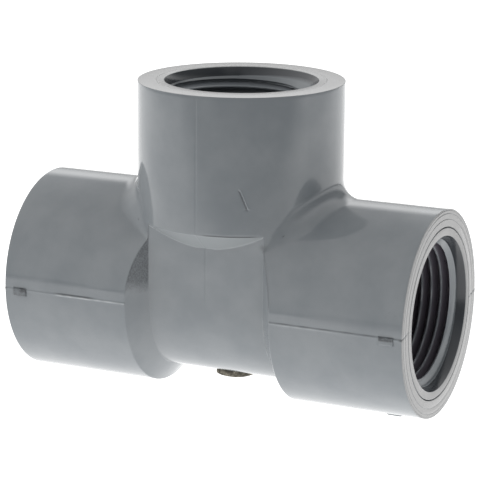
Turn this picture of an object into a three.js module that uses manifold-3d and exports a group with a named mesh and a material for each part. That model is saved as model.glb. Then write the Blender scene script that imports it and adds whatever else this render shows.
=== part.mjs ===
// A one-inch threaded tee for irrigation pipe, moulded in grey PVC.
//
// Millimetres, +Z up. The straight run lies along X and the branch rises along
// +Z. Every shape is drawn from the point where the two axes cross, and the
// finished tee is then raised, so that its run hubs rest on the plane z = 0 and
// the origin lies under the crossing. All three ports are the same size and
// stand at the same distance from the crossing.
//
// The tee is one moulding. It is divided here into the regions that carry its
// functions: a body, three hubs, a threaded sleeve in each hub, the cut gate
// stub under the body, and the small nubs beside the parting line.

import * as THREE from 'three';
import { mergeVertices } from 'three/addons/utils/BufferGeometryUtils.js';
import Module from 'manifold-3d';

const wasm = await Module();
wasm.setup();

// Driving dimensions of the outside.
const HUB_RADIUS = 22.75;
const REACH = 47.3; // from the crossing of the axes to each port's face
const FACE_CHAMFER = 0.3;
const SIDE_HALF_WIDTH = 17.9; // flat sides of the body, above the run's axis
const UNDERSIDE_DEPTH = 18.6; // rounded bottom of the body, below the run's axis
const SHOULDER_ROOT = 13.65; // where a run hub's shoulder leaves the body
const SHOULDER_RIM = 17.2; // where it reaches the hub's full radius
const COLLAR_ROOT = 13.2; // the same two heights under the branch hub
const COLLAR_RIM = 17.2;
const CROTCH_RADIUS = 4; // rolling-ball fillet between branch and run

// Driving dimensions of the inside.
const WATERWAY_RADIUS = 13.25;
const SEAT_DEPTH = 21; // from a port's face to the inner end of its thread
const SLEEVE_RADIUS = 18.75;
const SLEEVE_GAP = 0.1; // the fine ring on each run port's face
const MOUTH_RADIUS = 16.9; // the smooth mouth narrows from this at the face
const MOUTH_BOTTOM_RADIUS = 16.1;
const MOUTH_DEPTH = 2;
const LEAD_IN_DEPTH = 3.2; // from the face to the end of the chamfer under the mouth

// One-inch taper pipe thread, 11.5 turns to the inch, right-handed.
const PITCH = 25.4 / 11.5;
const PITCH_RADIUS = 31.461 / 2; // at the port's face
const THREAD_HEIGHT = 1.767;
const RADIAL_TAPER = 1 / 32;
const RUN_OUT = PITCH; // length over which the groove fades at the seat

// Small features.
const GATE_RADIUS = 4.5;
const GATE_OFFSET = -0.8; // along the run
const GATE_PROUD = 1.1;
const GATE_SOCKET = 1.4; // how far the stub reaches up into the body
const GATE_CLEARANCE = 0.1;
const NUB_PROUD = 0.5;
const NUB_CLEARANCE = 0.02;
const NUB_LENGTH = 3.4;
const NUB_HEIGHT = 1.9;

// Facets.
const ROUND_SEGMENTS = 64;
const THREAD_SEGMENTS = 40;
const GATE_SEGMENTS = 40;
const FILLET_STEPS = 6;
const FILLET_SINK = 0.05; // keeps the back of a fillet just under the hubs' surfaces
const MARGIN = 1; // how far a cutting tool runs past what it cuts
const FAR = 60; // beyond every surface of the tee

const QUARTER_TURN = Math.PI / 2;
const TOWARDS = {
  right: new THREE.Matrix4().makeRotationZ(-QUARTER_TURN),
  left: new THREE.Matrix4().makeRotationZ(QUARTER_TURN),
  branch: new THREE.Matrix4().makeRotationX(QUARTER_TURN),
};

// Turns a closed three.js geometry into a solid that can be joined and cut.
function solidOf(geometry) {
  const plain = geometry.clone();
  plain.deleteAttribute('normal');
  plain.deleteAttribute('uv');
  const merged = mergeVertices(plain);
  const corners = Array.from(merged.index.array);
  const kept = [];
  for (let i = 0; i < corners.length; i += 3) {
    const [a, b, c] = corners.slice(i, i + 3);
    if (a !== b && b !== c && c !== a) {
      kept.push(a, b, c);
    }
  }
  const vertProperties = new Float32Array(merged.attributes.position.array);
  const mesh = new wasm.Mesh({ numProp: 3, vertProperties, triVerts: new Uint32Array(kept) });
  return new wasm.Manifold(mesh);
}

// Turns a solid back into a three.js geometry.
function geometryOf(solid) {
  const mesh = solid.getMesh();
  const geometry = new THREE.BufferGeometry();
  geometry.setAttribute('position', new THREE.BufferAttribute(mesh.vertProperties, 3));
  geometry.setIndex(new THREE.BufferAttribute(mesh.triVerts, 1));
  geometry.computeVertexNormals();
  return geometry;
}

// A solid turned about +Y from [radius, height] points, then swung towards a port.
function turned(outline, port, segments = ROUND_SEGMENTS) {
  const points = outline.map(([radius, height]) => new THREE.Vector2(radius, height));
  const geometry = new THREE.LatheGeometry(points, segments);
  return solidOf(geometry.applyMatrix4(TOWARDS[port]));
}

// A plain round solid around a port's axis, between two heights along it.
function roundSolid(port, radius, from, to) {
  return turned([[0, from], [radius, from], [radius, to], [0, to]], port);
}

// A prism whose outline is drawn in two of the axes and extruded along the third.
function prism(shape, start, length, sideways, upwards, along) {
  const geometry = new THREE.ExtrudeGeometry(shape, { depth: length, bevelEnabled: false });
  geometry.translate(0, 0, start);
  geometry.applyMatrix4(new THREE.Matrix4().makeBasis(sideways, upwards, along));
  return solidOf(geometry);
}

// A closed solid whose skin passes through rings of equally many points. A loop's
// last ring lies on its first one, so only an open row of rings gets end caps.
function loft(rings, isLoop = false) {
  const size = rings[0].length;
  const positions = rings.flat().flatMap((point) => point.toArray());
  const index = [];
  for (let ring = 0; ring + 1 < rings.length; ring += 1) {
    for (let side = 0; side < size; side += 1) {
      const a = ring * size + side;
      const b = ring * size + ((side + 1) % size);
      index.push(a, b, b + size, a, b + size, a + size);
    }
  }
  const last = (rings.length - 1) * size;
  for (let side = 1; side + 1 < size && !isLoop; side += 1) {
    index.push(0, side + 1, side);
    index.push(last, last + side, last + side + 1);
  }
  const geometry = new THREE.BufferGeometry();
  geometry.setAttribute('position', new THREE.Float32BufferAttribute(positions, 3));
  geometry.setIndex(index);
  return solidOf(geometry);
}

const AXIS_X = new THREE.Vector3(1, 0, 0);
const AXIS_Y = new THREE.Vector3(0, 1, 0);
const AXIS_Z = new THREE.Vector3(0, 0, 1);

// Outline of a plain round hub whose shoulder widens from its root to its rim.
function hubOutline(rootHeight, rootRadius, rimHeight) {
  return [
    [0, rootHeight],
    [rootRadius, rootHeight],
    [HUB_RADIUS, rimHeight],
    [HUB_RADIUS, REACH - FACE_CHAMFER],
    [HUB_RADIUS - FACE_CHAMFER, REACH],
    [0, REACH],
  ];
}

// The body between the hubs: flat sides above the axis and a round underside.
function bodyBlock() {
  const section = new THREE.Shape();
  section.moveTo(-SIDE_HALF_WIDTH, COLLAR_RIM);
  section.lineTo(-SIDE_HALF_WIDTH, 0);
  section.absellipse(0, 0, SIDE_HALF_WIDTH, UNDERSIDE_DEPTH, Math.PI, 2 * Math.PI);
  section.lineTo(SIDE_HALF_WIDTH, COLLAR_RIM);
  section.closePath();
  return prism(section, -SHOULDER_ROOT, 2 * SHOULDER_ROOT, AXIS_Y, AXIS_Z, AXIS_X);
}

// A run hub. Its shoulder is a cone below the axis and a pair of flat ramps above.
function runHub(port) {
  const rootRadius = (SIDE_HALF_WIDTH + UNDERSIDE_DEPTH) / 2;
  const coneHub = turned(hubOutline(SHOULDER_ROOT, rootRadius, SHOULDER_RIM), port);
  const straightHub = turned(hubOutline(0, HUB_RADIUS, MARGIN), port);

  const side = port === 'left' ? -1 : 1;
  const plan = new THREE.Shape();
  plan.moveTo(side * SHOULDER_ROOT, -SIDE_HALF_WIDTH);
  plan.lineTo(side * SHOULDER_RIM, -HUB_RADIUS);
  plan.lineTo(side * FAR, -HUB_RADIUS);
  plan.lineTo(side * FAR, HUB_RADIUS);
  plan.lineTo(side * SHOULDER_RIM, HUB_RADIUS);
  plan.lineTo(side * SHOULDER_ROOT, SIDE_HALF_WIDTH);
  plan.closePath();
  const rampedSpace = prism(plan, 0, FAR, AXIS_X, AXIS_Y, AXIS_Z);
  return coneHub.add(straightHub.intersect(rampedSpace));
}

// The branch hub. Its collar narrows to the body between the run hubs' shoulders,
// and beyond them the hub keeps its full radius down to the run.
function branchHub() {
  const collar = turned(hubOutline(COLLAR_ROOT, SIDE_HALF_WIDTH, COLLAR_RIM), 'branch');
  const between = new THREE.BoxGeometry(2 * SHOULDER_ROOT, 2 * FAR, 2 * FAR);
  const flanks = roundSolid('branch', HUB_RADIUS, SHOULDER_ROOT, COLLAR_RIM + MARGIN);
  return collar.add(flanks.subtract(solidOf(between)));
}

// The fillet in the crotch between the branch and one side of the run. A ball
// that touches both hubs rolls through the crotch, and at each step the section
// is the ball's arc closed through the crotch line and a point inside the hubs.
function crotchFillet(side) {
  const step = (2 * Math.PI) / ROUND_SEGMENTS;
  const lastStep = Math.floor(Math.asin(SIDE_HALF_WIDTH / HUB_RADIUS) / step);
  const rings = [];
  for (let i = -lastStep; i <= lastStep; i += 1) {
    const across = Math.sin(i * step);
    const up = Math.cos(i * step);
    const ballPath = HUB_RADIUS + CROTCH_RADIUS;
    const ball = new THREE.Vector3(ballPath * up, ballPath * across, ballPath * up);
    const toRun = new THREE.Vector3(0, -across, -up);
    const toBranch = new THREE.Vector3(-up, -across, 0);
    const sweep = toRun.angleTo(toBranch);
    const ring = [];
    for (let j = 0; j <= FILLET_STEPS; j += 1) {
      const turn = (j / FILLET_STEPS) * sweep;
      const reach = new THREE.Vector3()
        .addScaledVector(toRun, Math.sin(sweep - turn) / Math.sin(sweep))
        .addScaledVector(toBranch, Math.sin(turn) / Math.sin(sweep));
      ring.push(ball.clone().addScaledVector(reach, CROTCH_RADIUS));
    }
    for (const radius of [HUB_RADIUS - FILLET_SINK, HUB_RADIUS - CROTCH_RADIUS]) {
      ring.push(new THREE.Vector3(radius * up, radius * across, radius * up));
    }
    rings.push(ring.map((point) => new THREE.Vector3(side * point.x, point.y, point.z)));
  }
  return loft(side < 0 ? rings : rings.reverse());
}

// The waterway runs from one run port to the other, and up from their axis to
// the branch port. At each port it widens to the seat of the threaded sleeve.
function insideSpaces() {
  const seat = REACH - SEAT_DEPTH;
  const spaces = [
    roundSolid('right', WATERWAY_RADIUS, -REACH, REACH),
    roundSolid('branch', WATERWAY_RADIUS, 0, REACH),
  ];
  for (const port of Object.keys(TOWARDS)) {
    spaces.push(roundSolid(port, SLEEVE_RADIUS, seat, REACH + MARGIN));
  }
  return spaces;
}

// Radius inside a sleeve at a height along the port's axis, on the thread's root
// or crest. The groove deepens from nothing over the run-out above the seat, and
// the thread fades into the chamfer that leads to the smooth mouth, where the
// groove stays inside the mouth's wall.
function threadRadius(height, isRoot) {
  const seat = REACH - SEAT_DEPTH;
  const mouthBottom = REACH - MOUTH_DEPTH;
  const leadIn = REACH - LEAD_IN_DEPTH;
  const crestAt = (level) => PITCH_RADIUS - THREAD_HEIGHT / 2 - (REACH - level) * RADIAL_TAPER;
  const depth = isRoot ? THREAD_HEIGHT * Math.min(1, (height - seat) / RUN_OUT) : 0;
  const room = MOUTH_BOTTOM_RADIUS + Math.max(0, leadIn - height);
  const alongChamfer = (height - leadIn) / (mouthBottom - leadIn);
  const chamfer = THREE.MathUtils.lerp(crestAt(leadIn), MOUTH_BOTTOM_RADIUS, alongChamfer);
  return Math.max(Math.min(crestAt(height) + depth, room), chamfer);
}

// Half section of a sleeve at one fraction of a turn, as [radius, height] points.
// Thread points that lie past either end of the thread collect at that end.
function sleeveSection(turn) {
  const seat = REACH - SEAT_DEPTH;
  const mouthBottom = REACH - MOUTH_DEPTH;
  const outerRadius = SLEEVE_RADIUS - SLEEVE_GAP;
  const section = [
    [outerRadius, seat],
    [outerRadius, REACH],
    [MOUTH_RADIUS, REACH],
    [MOUTH_BOTTOM_RADIUS, mouthBottom],
  ];
  const turns = Math.ceil((mouthBottom - seat) / PITCH);
  for (let half = 2 * turns; half >= -2; half -= 1) {
    const height = seat + (half / 2 + turn) * PITCH;
    const kept = THREE.MathUtils.clamp(height, seat, mouthBottom);
    section.push([threadRadius(kept, half % 2 === 0), kept]);
  }
  return section;
}

// A threaded sleeve, swept once around the port's axis while its thread climbs
// by one pitch.
function threadSleeve(port) {
  const rings = [];
  for (let i = 0; i <= THREAD_SEGMENTS; i += 1) {
    const turn = i / THREAD_SEGMENTS;
    const angle = turn * 2 * Math.PI;
    rings.push(sleeveSection(turn).map(([radius, height]) => (
      new THREE.Vector3(radius * Math.sin(angle), height, radius * Math.cos(angle))
        .applyMatrix4(TOWARDS[port])
    )));
  }
  return loft(rings.reverse(), true);
}

function gateCylinder(radius) {
  const bottom = -UNDERSIDE_DEPTH - GATE_PROUD;
  const top = -UNDERSIDE_DEPTH + GATE_SOCKET;
  const geometry = new THREE.CylinderGeometry(radius, radius, top - bottom, GATE_SEGMENTS);
  geometry.rotateX(QUARTER_TURN);
  geometry.translate(GATE_OFFSET, 0, (top + bottom) / 2);
  return solidOf(geometry);
}

// The whole moulding without its sleeves, gate stub and nubs.
function moulding() {
  const outside = bodyBlock()
    .add(runHub('left'))
    .add(runHub('right'))
    .add(branchHub())
    .add(crotchFillet(-1))
    .add(crotchFillet(1));
  const tools = [...insideSpaces(), gateCylinder(GATE_RADIUS + GATE_CLEARANCE)];
  return tools.reduce((rest, tool) => rest.subtract(tool), outside);
}

// The space of one region of the moulding, drawn in the plane of the two axes.
function region(corners) {
  const shape = new THREE.Shape(corners.map(([x, z]) => new THREE.Vector2(x, z)));
  return prism(shape, -FAR, 2 * FAR, AXIS_X, AXIS_Z, new THREE.Vector3(0, -1, 0));
}

// The regions meet on the planes of the hub shoulders, and in the crotches on
// the two planes that bisect the angle between branch and run.
const RIM = SHOULDER_RIM;
const REGIONS = {
  center_body: [[-RIM, -FAR], [RIM, -FAR], [RIM, RIM], [-RIM, RIM]],
  left_hub: [[-FAR, -FAR], [-RIM, -FAR], [-RIM, RIM], [-FAR, FAR]],
  right_hub: [[RIM, -FAR], [FAR, -FAR], [FAR, FAR], [RIM, RIM]],
  branch_hub: [[-RIM, RIM], [RIM, RIM], [FAR, FAR], [-FAR, FAR]],
};

// A small raised nub on a run hub: a patch of a thin ring around the hub.
function nub(port, center) {
  const outline = [
    [HUB_RADIUS + NUB_CLEARANCE, 0],
    [HUB_RADIUS + NUB_PROUD, 0],
    [HUB_RADIUS + NUB_PROUD, REACH],
    [HUB_RADIUS + NUB_CLEARANCE, REACH],
    [HUB_RADIUS + NUB_CLEARANCE, 0],
  ];
  const patch = new THREE.BoxGeometry(NUB_LENGTH, center.lengthY, center.lengthZ);
  patch.translate(center.x, center.y, center.z);
  return turned(outline, port).intersect(solidOf(patch));
}

const NUBS = {
  left_parting_nub: { port: 'left', x: -43.5, y: -HUB_RADIUS, z: -0.55 },
  right_parting_nub: { port: 'right', x: 43.8, y: -HUB_RADIUS, z: -0.55 },
  right_bottom_nub: { port: 'right', x: 39.4, y: -4.5, z: -HUB_RADIUS },
};

const PVC_GREY = 0x7b8286;
const BORE_GREY = 0x6f7478;
const CUT_BROWN = 0x85806a;
const MATERIALS = {
  shell: { color: PVC_GREY, roughness: 0.38, metalness: 0 },
  thread: { color: BORE_GREY, roughness: 0.45, metalness: 0 },
  gate: { color: CUT_BROWN, roughness: 0.8, metalness: 0 },
};

function named(name, solid, material) {
  const mesh = new THREE.Mesh(
    geometryOf(solid),
    new THREE.MeshStandardMaterial(MATERIALS[material]),
  );
  mesh.name = name;
  return mesh;
}

function buildTee() {
  const tee = new THREE.Group();
  const whole = moulding();
  for (const [name, corners] of Object.entries(REGIONS)) {
    tee.add(named(name, whole.intersect(region(corners)), 'shell'));
  }
  for (const port of Object.keys(TOWARDS)) {
    tee.add(named(`${port}_thread_sleeve`, threadSleeve(port), 'thread'));
  }
  tee.add(named('gate_stub', gateCylinder(GATE_RADIUS), 'gate'));
  for (const [name, place] of Object.entries(NUBS)) {
    const standsUpright = Math.abs(place.y) === HUB_RADIUS;
    const lengthY = standsUpright ? 2 * MARGIN : NUB_HEIGHT;
    const lengthZ = standsUpright ? NUB_HEIGHT : 2 * MARGIN;
    tee.add(named(name, nub(place.port, { ...place, lengthY, lengthZ }), 'shell'));
  }
  tee.position.z = HUB_RADIUS;
  return tee;
}

export default buildTee();
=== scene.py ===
"""The looks of a PVC pipe tee: a smooth moulded shell, taper threads, gate stub and nubs.

Shapes are worked out in millimetres from the point where the axes of run and branch
cross, and put into the frame (metres, hubs resting on z = 0) when a mesh is made.
"""

import math

import bmesh
import bpy
import numpy as np
from mathutils import Matrix, Vector


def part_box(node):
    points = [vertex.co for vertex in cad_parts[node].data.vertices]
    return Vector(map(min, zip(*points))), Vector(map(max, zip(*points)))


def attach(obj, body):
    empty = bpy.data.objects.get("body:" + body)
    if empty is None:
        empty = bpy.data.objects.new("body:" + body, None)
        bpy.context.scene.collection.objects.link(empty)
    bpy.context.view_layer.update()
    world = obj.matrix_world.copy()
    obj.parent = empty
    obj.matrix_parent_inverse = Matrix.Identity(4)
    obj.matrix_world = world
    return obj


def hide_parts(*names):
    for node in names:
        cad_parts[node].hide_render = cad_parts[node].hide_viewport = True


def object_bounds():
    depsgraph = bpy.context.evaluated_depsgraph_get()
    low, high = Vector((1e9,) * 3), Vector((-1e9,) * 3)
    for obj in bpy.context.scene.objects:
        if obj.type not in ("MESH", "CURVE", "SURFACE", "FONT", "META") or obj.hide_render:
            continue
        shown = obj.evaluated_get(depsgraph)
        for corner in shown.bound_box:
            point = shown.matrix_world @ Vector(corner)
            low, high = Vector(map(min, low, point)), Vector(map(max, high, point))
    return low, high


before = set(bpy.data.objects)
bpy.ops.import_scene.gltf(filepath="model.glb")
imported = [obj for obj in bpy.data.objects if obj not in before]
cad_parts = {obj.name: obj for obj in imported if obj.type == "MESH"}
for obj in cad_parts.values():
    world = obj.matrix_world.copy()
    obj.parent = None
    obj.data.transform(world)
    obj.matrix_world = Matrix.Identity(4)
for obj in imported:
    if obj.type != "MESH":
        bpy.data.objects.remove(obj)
cad_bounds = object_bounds()

# ---------------------------------------------------------------- sizes, in millimetres

MM = 0.001
hub_low, hub_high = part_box("right_hub")
sleeve_low, sleeve_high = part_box("right_thread_sleeve")
gate_low, gate_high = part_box("gate_stub")

HUB_RADIUS = (hub_high.y - hub_low.y) / 2 / MM
CROSSING = Vector((0, 0, HUB_RADIUS))  # where the axes cross, above the floor
REACH = hub_high.x / MM  # from the crossing to each port's face
RIM = hub_low.x / MM  # where a shoulder reaches the hub's full radius
SEAT = sleeve_low.x / MM  # inner end of a threaded sleeve
SLEEVE_RADIUS = (sleeve_high.y - sleeve_low.y) / 2 / MM
SIDE_HALF_WIDTH = 17.9  # flat sides of the body
GATE_PROUD = 1.1  # how far the gate stub stands below the body
UNDERSIDE_DEPTH = CROSSING.z - gate_low.z / MM - GATE_PROUD
SHOULDER_ROOT = 13.65  # where a run hub's shoulder leaves the body
RAMP_SLOPE = (RIM - SHOULDER_ROOT) / (HUB_RADIUS - SIDE_HALF_WIDTH)
COLLAR_ROOT = 13.2  # where the branch hub's collar leaves the body
COLLAR_FOOT = COLLAR_ROOT - 1  # from here on the body's mesh is fine
COLLAR_SLOPE = (HUB_RADIUS - SIDE_HALF_WIDTH) / (RIM - COLLAR_ROOT)
BODY_CORNER = math.sqrt(HUB_RADIUS**2 - SIDE_HALF_WIDTH**2)  # where a hub meets the flat side
CROTCH_RADIUS = 4.0  # of the fillet between branch and run
CROTCH_CLOSES = (13.4, 18.4)  # it shrinks between these distances from the middle plane
CROTCH_LEAST = 0.1  # to this share of its radius
WATERWAY_RADIUS = 13.25
EDGE_RADIUS = 0.12  # rounding of the shoulders' rims
FACE_ROUND = 0.12  # rounding between a hub's side and its face
CORNER_FILLET = 0.04  # where shoulders and collar meet the body

PITCH = 25.4 / 11.5
PITCH_RADIUS = 31.461 / 2
THREAD_HEIGHT = 1.767
GROOVE_FLAT = 0.05  # flat at the bottom of a groove, as a share of the pitch
GROOVE_FLANKS = 0.83  # and the share that its flanks take
RADIAL_TAPER = 1 / 32
THREAD_START = {"right": 0.15, "left": 0.15, "branch": 0.51}  # in turns round the port
MOUTH_RADIUS = 16.9  # at the port's face
MOUTH_BOTTOM_RADIUS = 16.1
MOUTH_DEPTH = 2.0
MOUTH_STEP = 0.1  # the mouth's wall ends this far above its bottom
LEAD_IN_DEPTH = 3.2  # where the lead-in chamfer reaches the thread's crests
LEAD_IN_MORE = 0.5  # how much deeper it goes where the branch's thread starts
MOUTH_LESS = 0.8  # how much shallower the mouth is there
START_ANGLES = np.radians((60, 100, 150, 207))  # fully so between the middle two of these
MOUTH_EDGE = ((0, 0.14), (0.05, 0.04), (0.15, 0))  # depth below the face, and how much wider

FACE_RINGS = (0.985, 0.955, 0.9)  # turned rings on a port's face, as shares of the hub's radius
FACE_RING_DEPTH = 0.14
FACE_RING_HALF_WIDTH = 0.1
SLEEVE_GAP = {"right": 0.1, "left": 0.1, "branch": 0.02}  # between hub and threaded sleeve
HUB_LIP = {"right": 0.16, "left": 0.16, "branch": 0.02}  # chamfers beside that gap
SLEEVE_LIP = {"right": 0.12, "left": 0.12, "branch": 0.02}

NUB_GRID = {"along": 0.22, "around": 0.16}  # spacing of a nub's mesh
NUB_PROUD = 0.45  # above the hub's skin
NUB_EDGE_DROP = 0.4  # how far its edges are rounded down
NUB_EDGE_WIDTH = 0.12
NUB_SUNK = 0.25  # how far its base lies below the skin

# Marks on the skin. Angles run round a port's axis from the front, and heights along it.
ROUGH_FROM = 1.8  # height above the parting line from which the shoulders are rough
ROUGH_FADE = 3.0  # over which they become so
ROUGH_RAGGED = 0.5  # how far the edge of the roughness wanders up and down
# How rough, and how much darker, each shoulder is made; the darkening is partly its rough texture and
# partly painted shade.
SHOULDER_ROUGH_AND_SHADED = {"left": 1.0, "right": 0.15}
LINE_PROUD = 0.06  # the parting line stands one to two times this high
LINE_HALF_WIDTHS = (0.34, 0.14)  # below and above its crest
SECOND_LINE = 2.3  # how far above the parting line the fainter one runs
SECOND_LINE_PROUD = 0.045
FLASH_ON_LEFT = (25.4, 33.8)  # heights between which flash stands up on the left hub
BURR_PROUD = 0.2
PALE_FLASH = {"left": (0.85, 33.8, 0.8), "right": (0.4, RIM + 14, 2.0)}  # share, end, fade
CRACK_SLANTS = (0.19, -0.21)  # of the mould line across a port's face, at front and rear
CRACK_DEPTH = 0.1
FACE_SHARE = {"right": 1.0, "left": 1.0, "branch": 0.8}  # how plainly the faces look turned
NOTCH = (BODY_CORNER - 0.5, -SIDE_HALF_WIDTH, BODY_CORNER + 0.8)  # painted shade in the body's corner
WITNESS_START = 0.8  # height at which the mould line on the body begins
WITNESS_FADE = 1.5
WITNESS_DEPTH = 0.09
BRANCH_LINE_DEPTH = 0.04  # of the mould line down the branch
LINE_WIDTH = 0.13  # of both
SCRATCH_TOP = (math.radians(24), 27.4)  # angle, height
SCRATCH_END = (math.radians(28.3), 23.3)
SCRATCH_DEPTH = 0.2
SCRATCH_LIP = 0.1  # raised beside it
SCRATCH_FOOT = 0.08  # depth of the small nick across its lower end
RIM_GAP = (math.radians(4), math.radians(33))  # angles between which the branch's rim has a gap
RIM_GAP_DEPTH = 0.12
SPOT = (1.17, 21.0)  # a speck of dirt on the left hub: angle, height

# ---------------------------------------------------------------- the shell's form


def round_join(a, b, radius):
    """Distance to two joined solids, with a fillet of this radius between them."""
    corner = np.hypot(np.maximum(radius - a, 0), np.maximum(radius - b, 0))
    return np.maximum(radius, np.minimum(a, b)) - corner


def round_cut(a, b, radius):
    """Distance to what two solids share, with their edge rounded to this radius."""
    corner = np.hypot(np.maximum(radius + a, 0), np.maximum(radius + b, 0))
    return np.minimum(-radius, np.maximum(a, b)) + corner


def above_ramp(x, from_middle):
    """How far a point stands off a shoulder's ramp, measured along the run."""
    return SHOULDER_ROOT - x + RAMP_SLOPE * (from_middle - SIDE_HALF_WIDTH)


def above_collar(from_axis, height):
    """How far a point stands off the branch hub's collar, measured from its axis."""
    return from_axis - SIDE_HALF_WIDTH - COLLAR_SLOPE * (height - COLLAR_ROOT)


def shell_distance(points):
    """Distance from points to the outside of the moulding, less than zero inside it."""
    x, y, z = np.abs(points[..., 0]), np.abs(points[..., 1]), points[..., 2]
    from_branch_axis = np.hypot(x, y)

    run_tube = np.hypot(y, z) - HUB_RADIUS
    branch_tube = np.maximum(from_branch_axis - HUB_RADIUS, -z)
    fillet = CROTCH_RADIUS * np.interp(y, CROTCH_CLOSES, (1, 0)).clip(CROTCH_LEAST)
    tubes = round_join(run_tube, branch_tube, fillet)

    # The shoulders are flat ramps above the run's axis and cones below it.
    shoulder = above_ramp(x, np.hypot(y, np.minimum(z, 0))) / math.hypot(1, RAMP_SLOPE)
    collar = above_collar(from_branch_axis, z) / math.hypot(1, COLLAR_SLOPE)
    flank = np.maximum(BODY_CORNER - x, BODY_CORNER - z)
    hubs = round_cut(tubes, np.minimum(shoulder, np.minimum(collar, flank)), EDGE_RADIUS)

    underside = np.hypot(y / SIDE_HALF_WIDTH, z / UNDERSIDE_DEPTH) - 1
    wall = np.where(z > 0, y - SIDE_HALF_WIDTH, underside * SIDE_HALF_WIDTH)
    body = np.maximum(wall, np.maximum(x - BODY_CORNER, z - RIM))
    return round_join(hubs, body, CORNER_FILLET)


def land_on_shell(starts, directions):
    """Points where rays from inside the moulding leave it, traced back from outside."""
    steps = 90
    outside = 3 * HUB_RADIUS
    unit = directions / np.linalg.norm(directions, axis=-1, keepdims=True)
    travel = np.full(unit.shape[:-1], outside)
    for _ in range(steps):
        travel = travel - shell_distance(starts + travel[..., None] * unit)
    return starts + travel[..., None] * unit


# ---------------------------------------------------------------- meshes


def make_object(name, points, faces, smooth_below=35):
    """A mesh object from points in millimetres from the crossing, sharp above an angle."""
    mesh = bpy.data.meshes.new(name)
    placed = (points.reshape(-1, 3) + np.array(CROSSING)) * MM
    mesh.from_pydata(placed.tolist(), [], faces.reshape(-1, faces.shape[-1]).tolist())
    mesh.validate()
    mesh.shade_smooth()
    mesh.set_sharp_from_angle(angle=math.radians(smooth_below))
    made = bpy.data.objects.new(name, mesh)
    bpy.context.scene.collection.objects.link(made)
    return made


def grid_faces(rows, columns, wrap_rows, wrap_columns):
    """Quads between neighbours in a grid of points, as indices into its rows."""
    index = np.arange(rows * columns).reshape(rows, columns)
    next_row = np.roll(index, -1, axis=0)
    next_column = np.roll(index, -1, axis=1)
    across = np.roll(next_row, -1, axis=1)
    quads = np.stack([index, next_column, across, next_row], axis=-1)
    quads = quads if wrap_rows else quads[:-1]
    return quads if wrap_columns else quads[:, :-1]


def join_skins(outer, inner):
    """Points and faces of a solid between two grids of points, closed round their borders."""
    rows, columns = outer.shape[:2]
    count = rows * columns
    skin = grid_faces(rows, columns, False, False).reshape(-1, 4)
    index = np.arange(count).reshape(rows, columns)
    border = np.concatenate([index[0, :-1], index[:-1, -1], index[-1, :0:-1], index[:0:-1, 0]])
    onward = np.roll(border, -1)
    rim = np.stack([onward, border, border + count, onward + count], axis=-1)
    points = np.concatenate([outer.reshape(-1, 3), inner.reshape(-1, 3)])
    return points, np.concatenate([skin, skin[:, ::-1] + count, rim])


def facing_out(points, faces):
    """The faces, turned round if they enclose the solid from the wrong side."""
    flat = points.reshape(-1, 3)
    corners = flat[faces.reshape(-1, faces.shape[-1])]
    first = np.cross(corners[:, 1] - corners[:, 0], corners[:, 2] - corners[:, 0])
    second = np.cross(corners[:, 2] - corners[:, 0], corners[:, 3] - corners[:, 0])
    volume = (corners[:, 0] * (first + second)).sum()
    return faces if volume > 0 else faces[..., ::-1]


def spaced(stops, gaps):
    """Values through a list of stops, with about this gap between them in each stretch."""
    values = []
    for start, end, gap in zip(stops[:-1], stops[1:], gaps):
        count = max(1, round(abs(end - start) / gap))
        values.extend(np.linspace(start, end, count, endpoint=False))
    return np.array(values + [stops[-1]])


# ---------------------------------------------------------------- hubs

RIGHT = np.array((1.0, 0.0, 0.0))
UP = np.array((0.0, 0.0, 1.0))
FRONT = np.array((0.0, -1.0, 0.0))
AXES = {"right": RIGHT, "left": -RIGHT, "branch": UP}
ACROSS = {"right": UP, "left": UP, "branch": RIGHT}  # square to the axis and to FRONT


def spokes(port, angles):
    """Directions square to a port's axis, at these angles from the front."""
    return np.cos(angles)[:, None] * FRONT + np.sin(angles)[:, None] * ACROSS[port]


def revolve(section, port, outward):
    """Points of a turned form: for each spoke, a section of (height, radius) pairs."""
    count = len(outward)
    heights = np.stack([np.broadcast_to(height, count) for height, _ in section], axis=1)
    radii = np.stack([np.broadcast_to(radius, count) for _, radius in section], axis=1)
    return heights[..., None] * AXES[port] + radii[..., None] * outward[:, None, :]


def around_port(points, port):
    """Angle from the front, height along a port's axis and distance from that axis."""
    height = points @ AXES[port]
    angle = np.arctan2(points @ ACROSS[port], points @ FRONT)
    radius = np.linalg.norm(points - height[..., None] * AXES[port], axis=-1)
    return angle, height, radius


def turn_angles(extra=()):
    """Angles round a hub, closer together beside the mould lines at front and rear."""
    steps_between = 120
    millimetres = np.array([0.08, 0.16, 0.24, 0.32, 0.4, 0.5, 0.6, 0.7, 0.8, 1.0, 1.4])
    near = millimetres / HUB_RADIUS
    beside = np.concatenate([-near[::-1], [0], near])
    between = np.linspace(near[-1], math.pi - near[-1], steps_between)[1:-1]
    angles = np.concatenate([beside, between, beside + math.pi, between + math.pi, extra])
    return np.unique(angles)


def ridge(offset, width):
    """A rounded ridge of height 1, where offset is how far a point is from its crest."""
    return np.exp(-((offset / width) ** 2))


def window(value, start, end, soft):
    """1 between start and end, falling softly to 0 outside them."""
    return 0.5 * (np.tanh((value - start) / soft) - np.tanh((value - end) / soft))


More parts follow.
